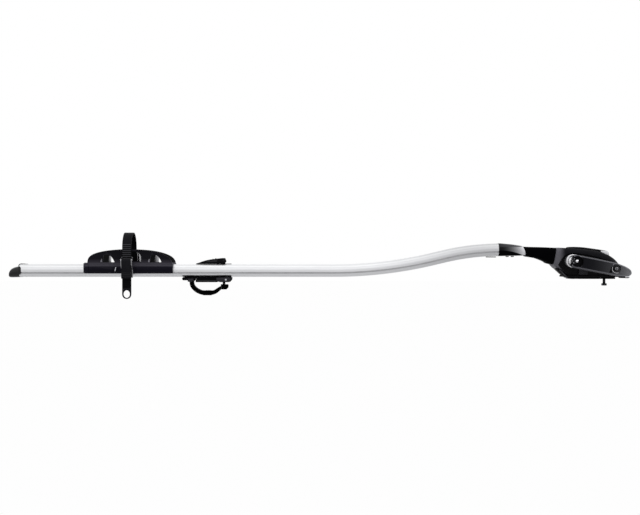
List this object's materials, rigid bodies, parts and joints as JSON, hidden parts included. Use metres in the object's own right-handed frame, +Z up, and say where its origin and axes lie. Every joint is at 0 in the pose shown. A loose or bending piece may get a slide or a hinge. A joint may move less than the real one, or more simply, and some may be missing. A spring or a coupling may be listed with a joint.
{
  "type": "fork-mount bicycle roof carrier",
  "caption": "Long roof carrier for one bicycle: oval aluminium beam with fork head and quick-release skewer, sliding wheel cradle with ratchet strap, and cam clamps for two crossbars.",
  "frame": {"origin": "centre of the underside of the front rubber pad, where it sits on the front crossbar", "axes": "+X along the beam towards the fork head, +Y towards the adjusting-nut side, +Z up"},
  "size_m": [1.3769, 0.1516, 0.1475],
  "materials": {
    "alu": "satin anodised extrusion",
    "alu_dark": "as cast",
    "gloss": "gloss black",
    "collar": "gloss dark grey",
    "neck": "matt black",
    "housing": "semi-matt dark grey",
    "lever": "satin dark grey",
    "plate": "matt black",
    "black": "fine grain black",
    "plastic": "moulded black",
    "rubber": "soft black rubber",
    "strap": "flexible polymer, ribbed",
    "steel": "zinc plated",
    "chrome": "bright plated"
  },
  "bodies": {
    "carrier": {"tube": "alu", "end_cap": "gloss", "tube_collar": "collar", "head_neck": "neck", "head_housing": "housing", "base_plate": "plate", "front_pad": "rubber", "base_screw_1": "steel", "base_screw_2": "steel", "base_screw_3": "steel", "base_screw_4": "steel", "tube_stop_tab": "black", "collar_screw_1": "steel", "collar_screw_2": "steel", "axle_tube": "alu_dark", "dropout_washer_near": "steel", "dropout_washer_far": "steel", "lock_catch": "black", "skewer_cup": "chrome", "clamp_wear_plate": "steel"},
    "skewer_shaft": {"skewer_rod": "steel", "skewer_pin": "steel"},
    "skewer_handle": {"skewer_lever": "lever", "lock_ring": "chrome"},
    "lock_core": {"lock_plug": "steel"},
    "adjust_nut": {"skewer_nut": "black"},
    "clamp_core": {"clamp_trunnion": "steel"},
    "clamp_handle": {"clamp_lever": "black"},
    "clamp_bolt": {"t_bolt": "steel"},
    "cradle": {"wheel_cradle": "plastic", "cradle_lock_screw": "steel", "strap_loop": "strap", "strap_anchor_screw": "steel", "buckle_base": "steel", "buckle_rivet_1": "steel", "buckle_rivet_2": "steel", "buckle_pin": "steel"},
    "strap_run": {"strap_tail": "strap"},
    "buckle_handle": {"buckle_lever": "plastic"},
    "rear_foot": {"foot_saddle": "black", "foot_pad": "rubber", "band_pin": "steel", "rear_wear_plate": "steel"},
    "rear_bolt": {"rear_bolt": "steel", "rear_cam_pin": "steel"},
    "rear_handle": {"rear_lever": "black"},
    "rear_band": {"clamp_band": "rubber", "band_block": "steel"}
  },
  "joints": [
    {"name": "skewer_slide", "type": "slide", "parent": "carrier", "child": "skewer_shaft", "axis": [0, 1, 0], "range_m": [0, 0.00302]},
    {"name": "skewer_lever", "type": "hinge", "parent": "skewer_shaft", "child": "skewer_handle", "pos_m": [-0.053, -0.071, 0.04], "axis": [-0.1959, 0, -0.9806], "range_deg": [0, 100]},
    {"name": "lock_turn", "type": "hinge", "parent": "skewer_handle", "child": "lock_core", "pos_m": [0.03667, -0.066, 0.02331], "axis": [0, 1, 0], "range_deg": [0, 90]},
    {"name": "nut_spin", "type": "hinge", "parent": "skewer_shaft", "child": "adjust_nut", "pos_m": [-0.053, 0.063, 0.04], "axis": [0, 1, 0], "continuous": true},
    {"name": "clamp_lift", "type": "slide", "parent": "carrier", "child": "clamp_core", "axis": [0, 0, -1], "range_m": [0, 0.00302]},
    {"name": "clamp_lever", "type": "hinge", "parent": "clamp_core", "child": "clamp_handle", "pos_m": [0.0315, 0, 0.052], "axis": [0, 1, 0], "range_deg": [0, 100]},
    {"name": "t_bolt_twist", "type": "hinge", "parent": "clamp_core", "child": "clamp_bolt", "pos_m": [0.0315, 0, 0], "axis": [0, 0, 1], "range_deg": [0, 90]},
    {"name": "cradle_slide", "type": "slide", "parent": "carrier", "child": "cradle", "axis": [1, 0, 0], "range_m": [-0.12, 0.02]},
    {"name": "strap_feed", "type": "slide", "parent": "cradle", "child": "strap_run", "axis": [0, 0, -1], "range_m": [-0.012, 0.012]},
    {"name": "buckle_release", "type": "hinge", "parent": "cradle", "child": "buckle_handle", "pos_m": [-1.0342, -0.0494, 0.0415], "axis": [-1, 0, 0], "range_deg": [0, 60]},
    {"name": "rear_slide", "type": "slide", "parent": "carrier", "child": "rear_foot", "axis": [1, 0, 0], "range_m": [-0.01, 0.2]},
    {"name": "rear_drop", "type": "slide", "parent": "rear_foot", "child": "rear_bolt", "axis": [0, 0, -1], "range_m": [0, 0.00302]},
    {"name": "rear_lever", "type": "hinge", "parent": "rear_bolt", "child": "rear_handle", "pos_m": [-0.8235, 0, 0.04125], "axis": [0, 1, 0], "range_deg": [0, 105]},
    {"name": "band_swing", "type": "hinge", "parent": "rear_foot", "child": "rear_band", "pos_m": [-0.8955, 0, -0.002], "axis": [0, 1, 0], "range_deg": [0, 2.01]}
  ],
  "couplings": [
    {"joint": "skewer_slide", "follows": "skewer_lever", "m_per_rad": 0.0017189},
    {"joint": "clamp_lift", "follows": "clamp_lever", "m_per_rad": 0.0017189},
    {"joint": "rear_drop", "follows": "rear_lever", "m_per_rad": 0.001637},
    {"joint": "band_swing", "follows": "rear_lever", "ratio": 0.019048}
  ]
}
